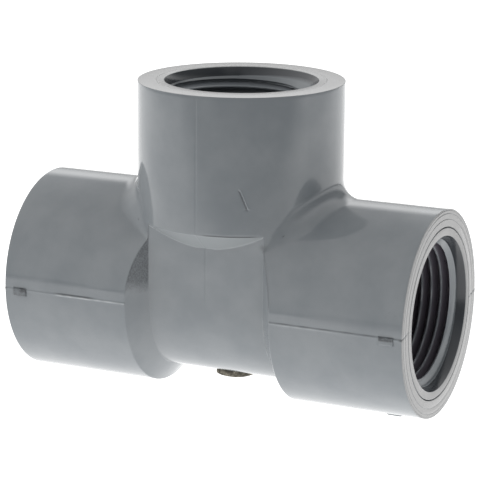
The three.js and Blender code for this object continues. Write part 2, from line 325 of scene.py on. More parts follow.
def parting_line(angle, height, port, seed):
    """How far the skin stands proud beside the mould's parting line.

    Where the halves met there is a thin ridge, uneven along its length. The left hub has
    a longer burr of flash on it, and near the shoulder a second, fainter line runs above.
    """
    rng = np.random.default_rng(seed)
    offset = HUB_RADIUS * np.sin(angle)
    uneven = np.zeros_like(height)
    for wave in (0.35, 0.8, 1.7, 3.1):
        uneven = uneven + np.sin(height * wave + rng.uniform(0, 2 * math.pi))
    uneven = 0.6 + 0.4 * np.tanh(uneven * 0.7)
    front = np.cos(angle) > 0
    line = LINE_PROUD * (1 + uneven) * ridge(offset, np.where(offset < 0, *LINE_HALF_WIDTHS))
    second = ridge(offset - SECOND_LINE, width=0.5) * window(height, RIM, RIM + 9, soft=2.0)
    skin = line + np.where(front, SECOND_LINE_PROUD * second, 0)
    if port == "left":
        burr = window(height, *FLASH_ON_LEFT, soft=1.2) * uneven * ridge(offset, width=0.24)
        skin = skin + np.where(front, BURR_PROUD * burr, 0)
    return skin


def flash_shade(angle, height, port):
    """How pale the skin is where thin flash stands along the front's parting line."""
    if port not in PALE_FLASH:
        return np.zeros_like(height)
    share, end, fade = PALE_FLASH[port]
    uneven = 0.75 + 0.25 * np.sin(1.9 * height + np.sin(0.8 * height))
    along = share * uneven * window(height, RIM, end, soft=fade)
    below_line = 0.12
    across = ridge(HUB_RADIUS * np.sin(angle) + below_line, width=0.18)
    return along * across * (np.cos(angle) > 0)


def face_crack(angle, radius):
    """1 along the mould line across a port's face, which slants a little, and 0 off it."""
    slant = np.where(np.cos(angle) > 0, *CRACK_SLANTS)
    return ridge(radius * np.sin(angle) - slant * (HUB_RADIUS - radius), width=0.17)


def scratch(angle, height):
    """A short slanting nick in the front of the branch, with a raised lip beside it."""
    across = HUB_RADIUS * (angle - SCRATCH_TOP[0])
    down = SCRATCH_TOP[1] - height
    run_across = HUB_RADIUS * (SCRATCH_END[0] - SCRATCH_TOP[0])
    run_down = SCRATCH_TOP[1] - SCRATCH_END[1]
    length = math.hypot(run_across, run_down)
    along = (across * run_across + down * run_down) / length
    beside = (across * run_down - down * run_across) / length
    inside = window(along, 0, length, soft=0.25)
    lip = SCRATCH_LIP * ridge(beside - 0.36, width=0.16)
    nick = SCRATCH_DEPTH * ridge(beside, width=0.16)
    foot = window(across - run_across, -0.6, 0.3, soft=0.12)
    foot = SCRATCH_FOOT * foot * ridge(down - run_down - 0.1, width=0.16)
    return inside * (lip - nick) - foot


def rim_gap(angle, height):
    """1 in the fine gap under the branch's rim, right of the middle of its front."""
    above_rim = 0.15
    return window(angle, *RIM_GAP, soft=0.04) * ridge(height - RIM - above_rim, width=0.2)


def hub_grid(port):
    """Angles round a hub, and shares of the way from its rim to its face."""
    length = REACH - FACE_ROUND - RIM
    near_rim = np.arange(0, 0.7, 0.1) / length
    share = np.unique(np.concatenate([spaced([0, 0.3, 1], [0.012, 0.025]), near_rim]))
    if port != "branch":
        return turn_angles(), share
    angles = turn_angles(np.arange(SCRATCH_TOP[0] - 0.02, SCRATCH_END[0] + 0.02, 0.007))
    heights = np.arange(SCRATCH_END[1] - 0.5, SCRATCH_TOP[1] + 0.5, 0.16)
    return angles, np.unique(np.concatenate([share, (heights - RIM) / length]))


def hub_skin(port, angles, height, outward, seed):
    """How far a hub's skin is from the port's axis, with the marks of the mould on it."""
    origin = height[..., None] * AXES[port]
    beams = np.broadcast_to(outward[:, None, :], origin.shape)
    radius = np.linalg.norm(land_on_shell(origin, beams) - origin, axis=-1)
    angle = angles[:, None]
    if port != "branch":
        return radius + parting_line(angle, height, port, seed)
    line = BRANCH_LINE_DEPTH * ridge(HUB_RADIUS * np.sin(angle), LINE_WIDTH)
    return radius - line + scratch(angle, height) - RIM_GAP_DEPTH * rim_gap(angle, height)


def face_section(port, angles, last_radius):
    """The rest of a hub's section: over its edge, across its face and down its bore."""
    section = []
    for turn in np.linspace(0, math.pi / 2, 7)[1:]:
        level = REACH - FACE_ROUND * (1 - math.sin(turn))
        section.append((level, last_radius - FACE_ROUND * (1 - math.cos(turn))))
    if port != "branch":
        uneven = 0.55 + 0.45 * np.cos(angles - 0.5)
        for ring in FACE_RINGS:
            for side, depth in ((1, 0), (0, FACE_RING_DEPTH), (-1, 0)):
                out = ring * HUB_RADIUS + side * FACE_RING_HALF_WIDTH
                crack = CRACK_DEPTH * face_crack(angles, out)
                section.append((REACH - depth * uneven - crack, out))
    recess = SLEEVE_RADIUS + SLEEVE_GAP[port]
    lip = HUB_LIP[port]
    section += [(REACH, recess + lip), (REACH - 1.5 * lip, recess)]
    return section + [(SEAT, recess), (SEAT, WATERWAY_RADIUS)]


def hub_points(port, seed):
    """Rings of a hub: one closed half section for each angle round the port's axis."""
    axis = AXES[port]
    angles, share = hub_grid(port)
    outward = spokes(port, angles)

    # The skin starts at the shoulder's rim, or in the middle of a crotch, where branch
    # and run meet. The branch has a crotch on both sides, and a run hub on one only.
    towards = np.abs(np.sin(angles)) if port == "branch" else np.sin(angles)
    slanted = outward + np.maximum(towards, 0)[:, None] * axis
    crotch = land_on_shell(np.zeros_like(slanted), slanted) @ axis
    start = np.where(towards > 0, np.maximum(crotch, RIM), RIM)

    end = REACH - FACE_ROUND
    height = start[:, None] + (end - start)[:, None] * share
    radius = hub_skin(port, angles, height, outward, seed)
    corner = np.minimum(RIM / np.maximum(towards, 1e-6), radius[:, 0])
    section = [(RIM, WATERWAY_RADIUS), (RIM, np.maximum(corner, WATERWAY_RADIUS))]
    section += [(height[:, i], radius[:, i]) for i in range(height.shape[1])]
    section += face_section(port, angles, radius[:, -1])
    return revolve(section, port, outward)


def on_face(height, port):
    """How plainly a point has the finish of a port's flat face: none just below the face."""
    just_below = 0.1
    return FACE_SHARE[port] * np.clip((height - REACH) / just_below + 1, 0, 1)


def hub_dirt_and_shade(angle, height, radius, port):
    """How much darker a hub is: painted shade in the nick and the gap, or in the crevice along the
    parting line, darker along its crack, and a speck of dirt on the left.
    """
    if port == "branch":
        # Painted shade in the nick and in the gap under the rim.
        nick = np.clip(-3 * scratch(angle, height), 0, 1)  # darkest where it is deepest
        return nick + 0.6 * rim_gap(angle, height)
    # Painted shade in the crevice just above the parting line.
    beside_line = 0.24
    line = ridge(HUB_RADIUS * np.sin(angle) - beside_line, width=0.16)
    line = line * (radius > HUB_RADIUS - FACE_ROUND)
    crack = face_crack(angle, radius) * (height > REACH - 0.2)
    if port == "right":
        return line * (0.5 + 0.15 * np.sin(1.3 * height)) + crack
    spot = ridge(HUB_RADIUS * (angle - SPOT[0]), width=0.25) * ridge(height - SPOT[1], width=0.5)
    return line * window(height, *FLASH_ON_LEFT, soft=1.0) + crack + spot


def set_shade(made, name, values):
    """Stores a number at each point of a mesh, for its material to read."""
    shade = made.data.attributes.new(name, "FLOAT", "POINT")
    shade.data.foreach_set("value", values.ravel().astype(np.float32))


def make_hub(port, seed):
    """The outside of a port: its skin, its shoulder's rim and its face."""
    points = hub_points(port, seed)
    faces = grid_faces(points.shape[0], points.shape[1], True, True)
    made = make_object(f"{port}_hub_shell", points, facing_out(points, faces))
    angle, height, radius = around_port(points, port)
    set_shade(made, "face", on_face(height, port))
    set_shade(made, "dirt_and_shade", hub_dirt_and_shade(angle, height, radius, port))
    set_shade(made, "flash", flash_shade(angle, height, port))
    return made


# ---------------------------------------------------------------- body


def body_columns():
    """Places along the run for the columns of the body's grid, fine at lines and edges."""
    fine, coarse = 0.1, 0.6
    line = 0.5
    stops = [-RIM, -COLLAR_FOOT, -line, line, COLLAR_FOOT, RIM]
    return spaced(stops, [fine, coarse, fine, coarse, fine])


def body_rows():
    """Where each row of the body's grid starts and which way it looks, in the middle plane."""
    fine, coarse = 0.1, 0.6
    steps_below = 100
    levels = spaced([RIM, COLLAR_FOOT, 0], [fine, coarse])
    rows = [(level * UP, FRONT) for level in levels]
    for angle in np.linspace(0, math.pi, steps_below)[1:-1]:
        rows.append((np.zeros(3), math.cos(angle) * FRONT - math.sin(angle) * UP))
    return rows + [(level * UP, -FRONT) for level in levels[::-1]]


def body_points():
    """Outer and inner skins of the body, from front top round the underside to rear top."""
    columns = body_columns()
    starts, directions, inner = [], [], []
    for middle, outward in body_rows():
        start = np.outer(columns, RIGHT) + middle
        branch_reach = np.minimum(np.abs(columns), middle[2])
        reach = np.sqrt(np.maximum(WATERWAY_RADIUS**2 - branch_reach**2, 0))
        starts.append(start)
        directions.append(np.tile(outward, (len(columns), 1)))
        inner.append(start + np.outer(reach, outward))
    directions = np.array(directions)
    outer = land_on_shell(np.array(starts), directions)
    above_parting = np.clip((outer[..., 2:] - WITNESS_START) / WITNESS_FADE, 0, 1)
    witness = WITNESS_DEPTH * ridge(columns, LINE_WIDTH)[None, :, None] * above_parting
    return outer - witness * directions, np.array(inner)


def near_surface(off):
    """1 within a tenth of a millimetre of a surface, falling to 0 just beyond."""
    return np.clip(1.6 - np.abs(off) / 0.15, 0, 1)


def on_shoulder(points):
    """1 where a point lies on a shoulder's ramp, falling to 0 off it."""
    x, y = np.abs(points[..., 0]), np.abs(points[..., 1])
    return near_surface(above_ramp(x, y)) * (x > SHOULDER_ROOT + 0.1)


def edge_painted_shade(points):
    """How much painted shade darkens the front edge of the right shoulder above the parting line, and
    the body's corner.
    """
    x, y, z = points[..., 0], points[..., 1], points[..., 2]
    on_hub = (np.hypot(y, z) > HUB_RADIUS - 0.25) & (y < 0)
    line = ridge(above_ramp(x, -y), width=0.25) * window(z, 3, BODY_CORNER, soft=0.8) * on_hub
    notch = ridge(np.linalg.norm(points - np.array(NOTCH), axis=-1), width=0.7)
    return 0.5 * line + 0.5 * notch


def on_collar(points):
    """1 where a point lies on the collar's cone under the branch hub, falling to 0 off it."""
    out, z = np.hypot(points[..., 0], points[..., 1]), points[..., 2]
    between = (np.abs(points[..., 0]) < BODY_CORNER - 0.4) & (out > SIDE_HALF_WIDTH + 0.1)
    return near_surface(above_collar(out, z)) * between


def make_body():
    """The narrower middle of the tee, with the shoulders of the run and the branch's collar."""
    points, faces = join_skins(*body_points())
    made = make_object("center_body_shell", points, facing_out(points, faces))
    # How rough each shoulder is made, and how much darker, partly with painted shade.
    rough_and_shaded = np.where(points[:, 0] < 0, SHOULDER_ROUGH_AND_SHADED["left"], SHOULDER_ROUGH_AND_SHADED["right"])
    # Painted light on the collar's cone.
    set_shade(made, "collar", on_collar(points))
    # Painted shade along the right shoulder's front edge and in the body's corner.
    set_shade(made, "dirt_and_shade", edge_painted_shade(points))
    set_shade(made, "shoulder", on_shoulder(points) * rough_and_shaded)
    return made


# ---------------------------------------------------------------- threads


def lead_in_share(port, angles):
    """How much of its extra depth the lead-in has: the branch's, where the thread starts."""
    if port != "branch":
        return np.zeros_like(angles)
    return np.interp(angles, START_ANGLES, (0, 1, 1, 0))


def inner_radius(height, groove_depth, start_share=0.0):
    """Radius inside a sleeve at a height, where the groove is this share of full depth."""
    lead_in = LEAD_IN_DEPTH + LEAD_IN_MORE * start_share
    mouth_depth = MOUTH_DEPTH - MOUTH_LESS * start_share
    crest = PITCH_RADIUS - THREAD_HEIGHT / 2 - (REACH - height) * RADIAL_TAPER
    run_out = np.clip((height - SEAT) / PITCH, 0, 1)
    crest_at_lead_in = PITCH_RADIUS - THREAD_HEIGHT / 2 - LEAD_IN_DEPTH * RADIAL_TAPER
    along = (height - (REACH - lead_in)) / (lead_in - mouth_depth)
    chamfer = crest_at_lead_in + (MOUTH_BOTTOM_RADIUS - crest_at_lead_in) * along
    room = MOUTH_BOTTOM_RADIUS + np.maximum(REACH - lead_in - height, 0)
    groove = np.minimum(crest + THREAD_HEIGHT * run_out * groove_depth, room)
    cut = np.maximum(groove, chamfer)
    return np.where(height > REACH - mouth_depth, MOUTH_BOTTOM_RADIUS, cut)


def groove_share(port, angles, heights, start_share):
    """How deep the thread's groove is, as a share of full depth: it climbs a pitch a turn."""
    hand = float(np.dot(np.cross(FRONT, ACROSS[port]), AXES[port]))
    climb = hand * angles[:, None] / (2 * math.pi)
    phase = (heights - SEAT) / PITCH - climb - THREAD_START[port]
    from_root = 2 * np.abs(phase - np.round(phase))
    groove = 1 - np.clip((from_root - GROOVE_FLAT) / GROOVE_FLANKS, 0, 1)
    filled = 0.9 * start_share * (heights > REACH - LEAD_IN_DEPTH - LEAD_IN_MORE * start_share)
    return groove * (1 - filled)


def sleeve_points(port):
    """Rings of a threaded sleeve: one closed half section for each angle round the axis."""
    steps_around = 220
    angles = np.linspace(0, 2 * math.pi, steps_around, endpoint=False)
    start_share = lead_in_share(port, angles)[:, None]
    lead_in_end = REACH - 2 * LEAD_IN_DEPTH
    fine = np.arange(REACH - MOUTH_DEPTH, lead_in_end, -PITCH / 40)
    heights = np.concatenate([fine, np.arange(lead_in_end, SEAT, -PITCH / 16)])
    groove = groove_share(port, angles, heights, start_share)
    radii = inner_radius(np.broadcast_to(heights, groove.shape), groove, start_share)
    mouth_bottom = REACH - MOUTH_DEPTH + MOUTH_LESS * start_share[:, 0]

    lip = SLEEVE_LIP[port]
    section = [(SEAT, SLEEVE_RADIUS), (REACH - lip, SLEEVE_RADIUS), (REACH, SLEEVE_RADIUS - lip)]
    section += [(REACH - depth, MOUTH_RADIUS + wider) for depth, wider in MOUTH_EDGE]
    section.append((mouth_bottom + MOUTH_STEP, MOUTH_BOTTOM_RADIUS))
    section += [(height, radii[:, i]) for i, height in enumerate(heights)]
    section.append((SEAT, inner_radius(SEAT, 0)))
    return revolve(section, port, spokes(port, angles))


def bore_painted_shades(angle, height, radius, port):
    """How much darker painted shade makes the grooves, and the wall of the mouth, at points of a
    sleeve.
    """
    in_bore = radius < MOUTH_RADIUS + 0.01
    below_lead_in = np.clip((REACH - LEAD_IN_DEPTH - height) / 0.3, 0, 1)
    # Painted shade in the thread's grooves, and a little over the whole bore below the lead-in.
    groove = np.clip((radius - inner_radius(height, 0)) / 0.4, 0, 1) * below_lead_in
    groove = np.maximum(groove, 0.3 * below_lead_in)
    # Painted shade on the wall of the mouth, a recess that little light reaches.
    wall = np.clip((REACH - height) / 0.05, 0, 1) * (height > REACH - MOUTH_DEPTH)
    if port == "branch":
        # On the branch the grooves get less painted shade and the chamfer gets some, except where the
        # thread starts, which is left lit.
        share = lead_in_share(port, angle % (2 * math.pi))
        deepest = REACH - LEAD_IN_DEPTH - LEAD_IN_MORE
        groove = 0.25 * groove * (1 - share * (height > deepest))
        chamfer = (height < REACH - MOUTH_DEPTH) * (1 - below_lead_in)
        wall = np.maximum(wall, 0.5 * (1 - share) * chamfer)
    return np.where(in_bore, groove, 0), np.where(in_bore, wall, 0)


def make_sleeve(port):
    """The inside of a port: mouth, lead-in chamfer and thread."""
    points = sleeve_points(port)
    faces = grid_faces(points.shape[0], points.shape[1], True, True)
    made = make_object(f"{port}_thread", points, facing_out(points, faces))
    angle, height, radius = around_port(points, port)
    groove, wall = bore_painted_shades(angle, height, radius, port)
    set_shade(made, "groove", groove)
    set_shade(made, "mouth_wall", wall)
    set_shade(made, "face", on_face(height, port))
    return made


# ---------------------------------------------------------------- small features


def gate_rings():
    """Rings of the gate stub, from inside the body down and across its torn end."""
    torn_by = 0.16
    wave_count = 6
    steps_around = 72
    phases = np.random.default_rng(7).uniform(0, 2 * math.pi, wave_count)
    centre = (gate_low + gate_high) / 2 / MM - CROSSING
    radius = (gate_high.x - gate_low.x) / 2 / MM
    bottom = gate_low.z / MM - CROSSING.z
    around = np.linspace(0, 2 * math.pi, steps_around, endpoint=False)
    smooth_side = [(1.0, bottom + 1.6), (1.0, bottom + 0.25)]
    torn_end = [(0.95, bottom + 0.06)] + [(share, bottom) for share in np.linspace(0.9, 0.08, 14)]
    rings = []
    for i, (share, level) in enumerate(smooth_side + torn_end):
        waves = [np.sin((k + 2) * around + phases[k] + i * 0.9) for k in range(wave_count)]
        uneven = sum(waves) / wave_count
        lift = 0.0 if i < len(smooth_side) else torn_by * (0.6 + uneven)
        size = radius * share * (1 + 0.015 * uneven)
        x = centre.x + size * np.cos(around)
        y = centre.y + size * np.sin(around)
        rings.append(np.stack([x, y, np.broadcast_to(level + lift, x.shape)], axis=-1))
    return np.array(rings)


def make_gate_stub():
    """The cut gate under the body: a short round stub with a torn, uneven end."""
    points = gate_rings()
    side = grid_faces(points.shape[0], points.shape[1], False, True)
    made = make_object("gate_stub_cut", points, facing_out(points, side))
    return cap_open_ends(made)


def cap_open_ends(made):
    """Closes the two open rings of a turned piece."""
    mesh = bmesh.new()
    mesh.from_mesh(made.data)
    bmesh.ops.holes_fill(mesh, edges=[edge for edge in mesh.edges if edge.is_boundary])
    bmesh.ops.recalc_face_normals(mesh, faces=mesh.faces)
    mesh.to_mesh(made.data)
    mesh.free()
    return made


def make_nub(node):
    """A small raised pad on a run hub, softened at its edges, a little sunk in the skin."""
    low, high = (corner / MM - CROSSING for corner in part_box(node))
    is_below = high.z < -HUB_RADIUS / 2
    side_low, side_high = (low.y, high.y) if is_below else (low.z, high.z)
    rows = spaced([low.x, high.x], [NUB_GRID["along"]])
    columns = spaced([side_low, side_high], [NUB_GRID["around"]])
    x, side = np.meshgrid(rows, columns, indexing="ij")
    inset = np.minimum.reduce([x - low.x, high.x - x, side - side_low, side_high - side])
    top = HUB_RADIUS + NUB_PROUD - NUB_EDGE_DROP * np.exp(-inset / NUB_EDGE_WIDTH)
    base = HUB_RADIUS - NUB_SUNK
    skins = []
    for radius in (top, base):
        out = -np.sqrt(radius**2 - side**2)
        skins.append(np.stack([x, side, out] if is_below else [x, out, side], axis=-1))
    points, faces = join_skins(*skins)
    return make_object(f"{node}_pad", points, facing_out(points, faces))


# ---------------------------------------------------------------- materials


class Nodes:
    """Short calls for building the node tree of a material or of the world."""

    def __init__(self, holder, place="Object"):
        holder.use_nodes = True
        self.holder = holder
        self.tree = holder.node_tree
        self.surface = self.tree.nodes.get("Principled BSDF")
        self.place = self.tree.nodes.new("ShaderNodeTexCoord").outputs[place]

    def link(self, source, target):
        self.tree.links.new(source, target)

    def noise(self, size_mm, detail=3.0, stretch=(1, 1, 1)):
        """Noise with features of about this size, stretched along the given axes."""
        mapping = self.tree.nodes.new("ShaderNodeMapping")
        mapping.inputs["Scale"].default_value = [1 / (size_mm * MM * s) for s in stretch]
        self.link(self.place, mapping.inputs["Vector"])
        noise = self.tree.nodes.new("ShaderNodeTexNoise")
        noise.inputs["Scale"].default_value = 1.0
        noise.inputs["Detail"].default_value = detail
        self.link(mapping.outputs["Vector"], noise.inputs["Vector"])
        return noise.outputs["Fac"]

    def fit(self, value, low, high, to_low, to_high):
        """The value moved from one range to another, and kept inside it."""
        node = self.tree.nodes.new("ShaderNodeMapRange")
        node.inputs["From Min"].default_value = low
        node.inputs["From Max"].default_value = high
        node.inputs["To Min"].default_value = to_low
        node.inputs["To Max"].default_value = to_high
        self.link(value, node.inputs["Value"])
        return node.outputs["Result"]

    def math(self, operation, a, b):
        """The result of a math node, where a and b are numbers or sockets."""
        node = self.tree.nodes.new("ShaderNodeMath")
        node.operation = operation
        for socket, value in zip(node.inputs, (a, b)):
            if isinstance(value, (int, float)):
                socket.default_value = value
            else:
                self.link(value, socket)
        return node.outputs[0]

    def times(self, first, *others):
        """The product of two or more values."""
        for other in others:
            first = self.math("MULTIPLY", first, other)
        return first

    def along(self, way):
        """How far the place lies along a direction."""
        node = self.tree.nodes.new("ShaderNodeVectorMath")
        node.operation = "DOT_PRODUCT"
        node.inputs[1].default_value = way
        self.link(self.place, node.inputs[0])
        return node.outputs["Value"]

    def seen_by_camera(self):
        """1 where the camera looks straight at the surface, 0 where light merely reaches it."""
        return self.tree.nodes.new("ShaderNodeLightPath").outputs["Is Camera Ray"]

    def stored(self, name):
        """The number stored under this name at each point of the mesh."""
        node = self.tree.nodes.new("ShaderNodeAttribute")
        node.attribute_name = name
        return node.outputs["Fac"]

    def mix(self, share, first, second):
        """A colour between two others, by this share of the second."""
        node = self.tree.nodes.new("ShaderNodeMix")
        node.data_type = "RGBA"
        self.link(share, node.inputs["Factor"])
        for socket, colour in ((node.inputs["A"], first), (node.inputs["B"], second)):
            if isinstance(colour, tuple):
                socket.default_value = (*colour, 1)
            else:
                self.link(colour, socket)
        return node.outputs["Result"]

    def bump(self, height, depth_mm, normal=None):
        """The surface's direction with fine relief of this depth, over any given before."""
        node = self.tree.nodes.new("ShaderNodeBump")
        node.inputs["Strength"].default_value = 1.0
        node.inputs["Distance"].default_value = depth_mm * MM
        self.link(height, node.inputs["Height"])
        if normal is not None:
            self.link(normal, node.inputs["Normal"])
        return node.outputs["Normal"]


PVC_DARK = (0.193, 0.212, 0.227)
PVC_LIGHT = (0.226, 0.244, 0.257)
# Painted shade for the bore's grooves and for the wall of a port's mouth.
BORE_SHADE_PVC = (0.085, 0.077, 0.093)
MOUTH_WALL_SHADE_PVC = (0.040, 0.045, 0.052)
# Painted shade in crevices and corners, a speck of dirt, and the nubs' darker patches.
DIRT_AND_SHADE_PVC = (0.070, 0.076, 0.082)
FACE_PVC = (0.275, 0.275, 0.275)
# The rough shoulders' colour: darker partly from their texture and partly as painted shade.
ROUGH_AND_SHADED_PVC = (0.105, 0.115, 0.124)
FLASH_PVC = (0.42, 0.44, 0.45)
# Painted light: the collar's cone made paler, standing in for the floor's light it reflects.
COLLAR_PAINTED_LIGHT_PVC = (0.29, 0.31, 0.32)
GATE_DARK = (0.115, 0.104, 0.082)
GATE_LIGHT = (0.34, 0.31, 0.245)
PVC_IOR = 1.52

# For each material, how rough it is and how deep its finest grain is, in millimetres.
MOULDED = {"roughness": 0.08, "grain_mm": 0.003}
THREADED = {"roughness": 0.18, "grain_mm": 0.004}
DRESSED = {"roughness": 0.25, "grain_mm": 0.01}


def pvc_surface(name, roughness, grain_mm):
    """Glossy grey PVC: faint cloudiness, fine grain, specks and soft scuffs."""
    nodes = Nodes(bpy.data.materials.new(name))
    clouds = nodes.fit(nodes.noise(size_mm=9), 0.35, 0.65, 0, 1)
    colour = nodes.mix(clouds, PVC_DARK, PVC_LIGHT)
    specks = nodes.fit(nodes.noise(size_mm=0.5, detail=1), 0.7, 0.78, 0, 0.6)
    colour = nodes.mix(specks, colour, PVC_DARK)

    haze = nodes.fit(nodes.noise(size_mm=6), 0.3, 0.7, roughness - 0.03, roughness + 0.05)
    streaks = nodes.noise(size_mm=0.6, detail=2, stretch=(5, 1, 1))
    rough = nodes.math("ADD", haze, nodes.fit(streaks, 0.68, 0.85, 0, 0.06))

    grain = nodes.bump(nodes.noise(size_mm=0.4), grain_mm)
    ripple = nodes.bump(nodes.noise(size_mm=4, detail=2), grain_mm * 3, grain)
    nodes.surface.inputs["IOR"].default_value = PVC_IOR
    return nodes, colour, rough, ripple


def complete(nodes, colour, rough, normal):
    """Gives a material its colour, roughness and normal."""
    nodes.link(colour, nodes.surface.inputs["Base Color"])
    nodes.link(rough, nodes.surface.inputs["Roughness"])
    nodes.link(normal, nodes.surface.inputs["Normal"])
    return nodes.holder


def turned_face(nodes, colour, rough):
    """The flat of a port, turned after moulding: paler, and duller than moulded skin."""
    duller_by = 0.12
    face = nodes.stored("face")
    return nodes.mix(face, colour, FACE_PVC), nodes.math("ADD", rough, nodes.times(face, duller_by))


def shell_material():
    """The hubs' PVC: turned faces, pale flash, and painted shade along the parting line, in the nick
    and in the rim's gap, with a speck of dirt.
    """
    nodes, colour, rough, normal = pvc_surface("pvc_shell", **MOULDED)
    colour, rough = turned_face(nodes, colour, rough)
    colour = nodes.mix(nodes.stored("flash"), colour, FLASH_PVC)
    # Painted shade in crevices, the nick and the rim's gap, darker along the face's crack, and a speck
    # of dirt.
    colour = nodes.mix(nodes.stored("dirt_and_shade"), colour, DIRT_AND_SHADE_PVC)
    return complete(nodes, colour, rough, normal)


def rough_shoulders(nodes):
    """1 on the shoulders above the parting line, from a ragged edge upwards."""
    wander = nodes.noise(size_mm=1.2)
    ragged = nodes.fit(wander, 0.3, 0.7, -ROUGH_RAGGED * MM, ROUGH_RAGGED * MM)
    level = nodes.math("ADD", nodes.along((0, 0, 1)), ragged)
    lowest = CROSSING.z + ROUGH_FROM
    above = nodes.fit(level, lowest * MM, (lowest + ROUGH_FADE) * MM, 0, 1)
    return nodes.times(nodes.stored("shoulder"), above)


def body_material():
    """The shell's PVC, with a collar made paler as painted light, painted shade at the right
    shoulder's edge and corner, and shoulders that the mould left rough, darkened partly with painted
    shade.
    """
    rougher_by = 0.3
    pit_depth_mm = 0.03
    nodes, colour, rough, normal = pvc_surface("pvc_body", **MOULDED)
    # Painted light: the collar's cone is made paler.
    colour = nodes.mix(nodes.stored("collar"), colour, COLLAR_PAINTED_LIGHT_PVC)
    # Painted shade at the right shoulder's edge and in the body's corner.
    colour = nodes.mix(nodes.stored("dirt_and_shade"), colour, DIRT_AND_SHADE_PVC)
    mask = rough_shoulders(nodes)
    pits = nodes.fit(nodes.noise(size_mm=0.32), 0.4, 0.62, 0.55, 1)
    # Rough shoulders, darker partly from their pitted texture and partly with painted shade.
    colour = nodes.mix(nodes.times(mask, pits), colour, ROUGH_AND_SHADED_PVC)
    rough = nodes.math("ADD", rough, nodes.times(mask, rougher_by))
    pitting = nodes.times(mask, nodes.noise(size_mm=0.32, detail=4))
    return complete(nodes, colour, rough, nodes.bump(pitting, pit_depth_mm, normal))


def thread_material():
    """The PVC of the ports, with painted shade on the mouth's wall and down in the bore, which is
    duller there too.
    """
    duller_by = 0.12
    nodes, colour, rough, normal = pvc_surface("pvc_thread", **THREADED)
    colour, rough = turned_face(nodes, colour, rough)
    deep = nodes.stored("groove")
    # Painted shade on the mouth's wall and down in the bore.
    colour = nodes.mix(nodes.stored("mouth_wall"), colour, MOUTH_WALL_SHADE_PVC)
    colour = nodes.mix(deep, colour, BORE_SHADE_PVC)
    rough = nodes.math("ADD", rough, nodes.times(deep, duller_by))
    return complete(nodes, colour, rough, normal)


def nub_material():
    """The nubs' PVC: dressed and scratched, and darker in blotches, most along the top."""
    duller_by = 0.15
    scratch_depth_mm = 0.12
    nodes, colour, rough, normal = pvc_surface("pvc_nub", **DRESSED)
    level = nodes.along((0, 0, 1))
    top = nodes.fit(level, (CROSSING.z - 0.7) * MM, (CROSSING.z - 0.3) * MM, 0, 1)

    # Below its top the left nub is darker too and the right one hardly at all.
    low = nodes.fit(nodes.along((1, 0, 0)), -MM, MM, 0.75, 0.15)
    darkened = nodes.math("MAXIMUM", top, low)
    blotches = nodes.noise(size_mm=0.7, detail=4, stretch=(2, 1, 1))
    darkened = nodes.times(darkened, nodes.fit(blotches, 0.4, 0.56, 0.45, 1))
    colour = nodes.mix(darkened, colour, DIRT_AND_SHADE_PVC)
    normal = nodes.bump(nodes.noise(size_mm=0.6, detail=4), scratch_depth_mm, normal)
    return complete(nodes, colour, nodes.math("ADD", rough, duller_by), normal)


def gate_material():
    """The gate's cut face: rough, brownish and mottled."""
    roughness = 0.8
    torn_depth_mm = 0.2
    nodes = Nodes(bpy.data.materials.new("gate_cut_face"))
    blotches = nodes.fit(nodes.noise(size_mm=1, detail=4), 0.45, 0.66, 0, 1)
    nodes.link(nodes.mix(blotches, GATE_DARK, GATE_LIGHT), nodes.surface.inputs["Base Color"])
    nodes.surface.inputs["Roughness"].default_value = roughness
    torn = nodes.bump(nodes.noise(size_mm=0.7, detail=4), torn_depth_mm)
    nodes.link(torn, nodes.surface.inputs["Normal"])
    return nodes.holder


def floor_material():
    """A light table: bright all round, fading towards the camera, to which it looks white."""
    nodes = Nodes(bpy.data.materials.new("floor_light_table"))
    near = nodes.along(TOWARDS_CAMERA)
    glow = nodes.fit(near, TABLE_BRIGHT, TABLE_DARK, TABLE_GLOW, TABLE_EDGE_GLOW)
    aside = nodes.math("ABSOLUTE", nodes.along(SIDEWAYS), 0)
    ends = nodes.fit(aside, TABLE_WIDE, TABLE_END, 1, TABLE_END_SHARE)
    uneven = nodes.fit(nodes.noise(size_mm=60, detail=2), 0.3, 0.7, 0.97, 1.03)
    shown = nodes.math("MAXIMUM", nodes.times(glow, ends, uneven), nodes.seen_by_camera())
    emission = nodes.tree.nodes.new("ShaderNodeEmission")
    nodes.link(shown, emission.inputs["Strength"])
    nodes.link(emission.outputs["Emission"], nodes.tree.nodes["Material Output"].inputs["Surface"])
    nodes.tree.nodes.remove(nodes.surface)
    return nodes.holder


# ---------------------------------------------------------------- assembly


def dress(piece, node, material):
    """Makes a piece stand for its CAD node and gives it its finish."""
    piece.data.materials.append(material)
    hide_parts(node)
    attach(piece, "root")


def build_object():
    """Every piece of the tee, in the place of its CAD node."""
    shell = shell_material()
    thread = thread_material()
    dress(make_body(), "center_body", body_material())
    for seed, port in enumerate(AXES, start=11):
        dress(make_hub(port, seed), f"{port}_hub", shell)
        dress(make_sleeve(port), f"{port}_thread_sleeve", thread)
    dress(make_gate_stub(), "gate_stub", gate_material())
    nub = nub_material()
    for node in ("left_parting_nub", "right_parting_nub", "right_bottom_nub"):
        dress(make_nub(node), node, nub)


# ---------------------------------------------------------------- studio

CAMERA_AZIMUTH = math.radians(24.99)  # from the front towards the right
TOWARDS_CAMERA = (math.sin(CAMERA_AZIMUTH), -math.cos(CAMERA_AZIMUTH), 0)  # across the floor
SIDEWAYS = (math.cos(CAMERA_AZIMUTH), math.sin(CAMERA_AZIMUTH), 0)
CAMERA_ELEVATION = math.radians(14.0)
CAMERA_ROLL = math.radians(0.37)
CAMERA_DISTANCE = 21.67 * HUB_RADIUS
VIEW_ANGLE = math.radians(12.356)
LOOK_AT = CROSSING + Vector((-0.006, 0, 0.488)) * HUB_RADIUS

